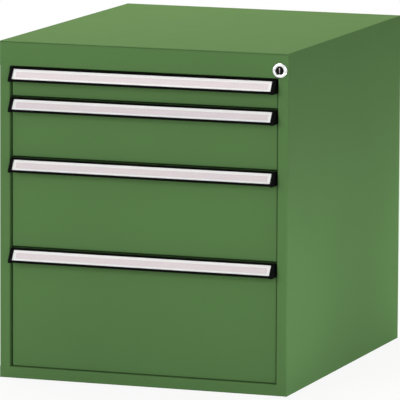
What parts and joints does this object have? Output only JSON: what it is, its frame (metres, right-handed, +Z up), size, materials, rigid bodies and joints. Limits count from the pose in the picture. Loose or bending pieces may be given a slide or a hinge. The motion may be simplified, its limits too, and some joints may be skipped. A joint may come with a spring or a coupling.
{
  "type": "underbench drawer unit",
  "caption": "Underbench steel drawer unit with drawers of rising height on full-extension slides, full-width label-strip handles and a cylinder lock that bars every drawer.",
  "frame": {"origin": "middle of the cabinet's footprint, on the underside of its base", "axes": "+Z up, -Y out of the drawer fronts, +X to the right of someone facing the drawers"},
  "size_m": [0.5, 0.616, 0.56],
  "materials": {
    "cabinet_paint": "satin green powder coat",
    "tray_paint": "satin light grey powder coat",
    "zinc_steel": "zinc plated steel",
    "handle_black": "black anodised",
    "black_plastic": "fine grained black plastic",
    "label_card": "matt white card",
    "label_cover": "clear gloss strip",
    "lock_chrome": "polished nickel plate",
    "plug_metal": "dark nickel",
    "buffer_rubber": "matt black rubber"
  },
  "bodies": {
    "cabinet": {"left_side_panel": "cabinet_paint", "right_side_panel": "cabinet_paint", "top_panel": "cabinet_paint", "bottom_panel": "cabinet_paint", "back_panel": "cabinet_paint", "top_rail": "cabinet_paint", "left_front_upright": "zinc_steel", "right_front_upright": "zinc_steel", "left_rear_upright": "zinc_steel", "right_rear_upright": "zinc_steel", "left_cabinet_rails": "zinc_steel", "right_cabinet_rails": "zinc_steel", "lock_rosette": "lock_chrome", "lock_body": "lock_chrome", "lock_nut": "zinc_steel", "bar_guides": "black_plastic", "drawer_buffers": "buffer_rubber"},
    "lock_plug": {"lock_plug": "plug_metal", "lock_cam": "zinc_steel"},
    "locking_bar": {"locking_bar": "zinc_steel"},
    "drawer_1": {"drawer_1_front": "cabinet_paint", "drawer_1_tray": "tray_paint", "drawer_1_handle": "handle_black", "drawer_1_label_card": "label_card", "drawer_1_label_cover": "label_cover", "drawer_1_left_end_cap": "black_plastic", "drawer_1_right_end_cap": "black_plastic", "drawer_1_runners": "zinc_steel", "drawer_1_lock_catch": "zinc_steel"},
    "drawer_1_carriages": {"drawer_1_carriages": "zinc_steel"},
    "drawer_2": {"drawer_2_front": "cabinet_paint", "drawer_2_tray": "tray_paint", "drawer_2_handle": "handle_black", "drawer_2_label_card": "label_card", "drawer_2_label_cover": "label_cover", "drawer_2_left_end_cap": "black_plastic", "drawer_2_right_end_cap": "black_plastic", "drawer_2_runners": "zinc_steel", "drawer_2_lock_catch": "zinc_steel"},
    "drawer_2_carriages": {"drawer_2_carriages": "zinc_steel"},
    "drawer_3": {"drawer_3_front": "cabinet_paint", "drawer_3_tray": "tray_paint", "drawer_3_handle": "handle_black", "drawer_3_label_card": "label_card", "drawer_3_label_cover": "label_cover", "drawer_3_left_end_cap": "black_plastic", "drawer_3_right_end_cap": "black_plastic", "drawer_3_runners": "zinc_steel", "drawer_3_lock_catch": "zinc_steel"},
    "drawer_3_carriages": {"drawer_3_carriages": "zinc_steel"},
    "drawer_4": {"drawer_4_front": "cabinet_paint", "drawer_4_tray": "tray_paint", "drawer_4_handle": "handle_black", "drawer_4_label_card": "label_card", "drawer_4_label_cover": "label_cover", "drawer_4_left_end_cap": "black_plastic", "drawer_4_right_end_cap": "black_plastic", "drawer_4_runners": "zinc_steel", "drawer_4_lock_catch": "zinc_steel"},
    "drawer_4_carriages": {"drawer_4_carriages": "zinc_steel"}
  },
  "joints": [
    {"name": "lock_turn", "type": "hinge", "parent": "cabinet", "child": "lock_plug", "pos_m": [0.2355, -0.3, 0.5325], "axis": [0, -1, 0], "range_deg": [0, 90]},
    {"name": "bar_lift", "type": "slide", "parent": "cabinet", "child": "locking_bar", "axis": [0, 0, 1], "range_m": [0, 0.00707]},
    {"name": "drawer_1_slide", "type": "slide", "parent": "cabinet", "child": "drawer_1", "axis": [0, -1, 0], "range_m": [0, 0.52]},
    {"name": "drawer_1_carriage_slide", "type": "slide", "parent": "cabinet", "child": "drawer_1_carriages", "axis": [0, -1, 0], "range_m": [0, 0.26]},
    {"name": "drawer_2_slide", "type": "slide", "parent": "cabinet", "child": "drawer_2", "axis": [0, -1, 0], "range_m": [0, 0.52]},
    {"name": "drawer_2_carriage_slide", "type": "slide", "parent": "cabinet", "child": "drawer_2_carriages", "axis": [0, -1, 0], "range_m": [0, 0.26]},
    {"name": "drawer_3_slide", "type": "slide", "parent": "cabinet", "child": "drawer_3", "axis": [0, -1, 0], "range_m": [0, 0.52]},
    {"name": "drawer_3_carriage_slide", "type": "slide", "parent": "cabinet", "child": "drawer_3_carriages", "axis": [0, -1, 0], "range_m": [0, 0.26]},
    {"name": "drawer_4_slide", "type": "slide", "parent": "cabinet", "child": "drawer_4", "axis": [0, -1, 0], "range_m": [0, 0.52]},
    {"name": "drawer_4_carriage_slide", "type": "slide", "parent": "cabinet", "child": "drawer_4_carriages", "axis": [0, -1, 0], "range_m": [0, 0.26]}
  ],
  "couplings": [
    {"joint": "lock_turn", "follows": "bar_lift", "rad_per_m": 222.14},
    {"joint": "drawer_1_carriage_slide", "follows": "drawer_1_slide", "ratio": 0.5},
    {"joint": "drawer_2_carriage_slide", "follows": "drawer_2_slide", "ratio": 0.5},
    {"joint": "drawer_3_carriage_slide", "follows": "drawer_3_slide", "ratio": 0.5},
    {"joint": "drawer_4_carriage_slide", "follows": "drawer_4_slide", "ratio": 0.5}
  ]
}
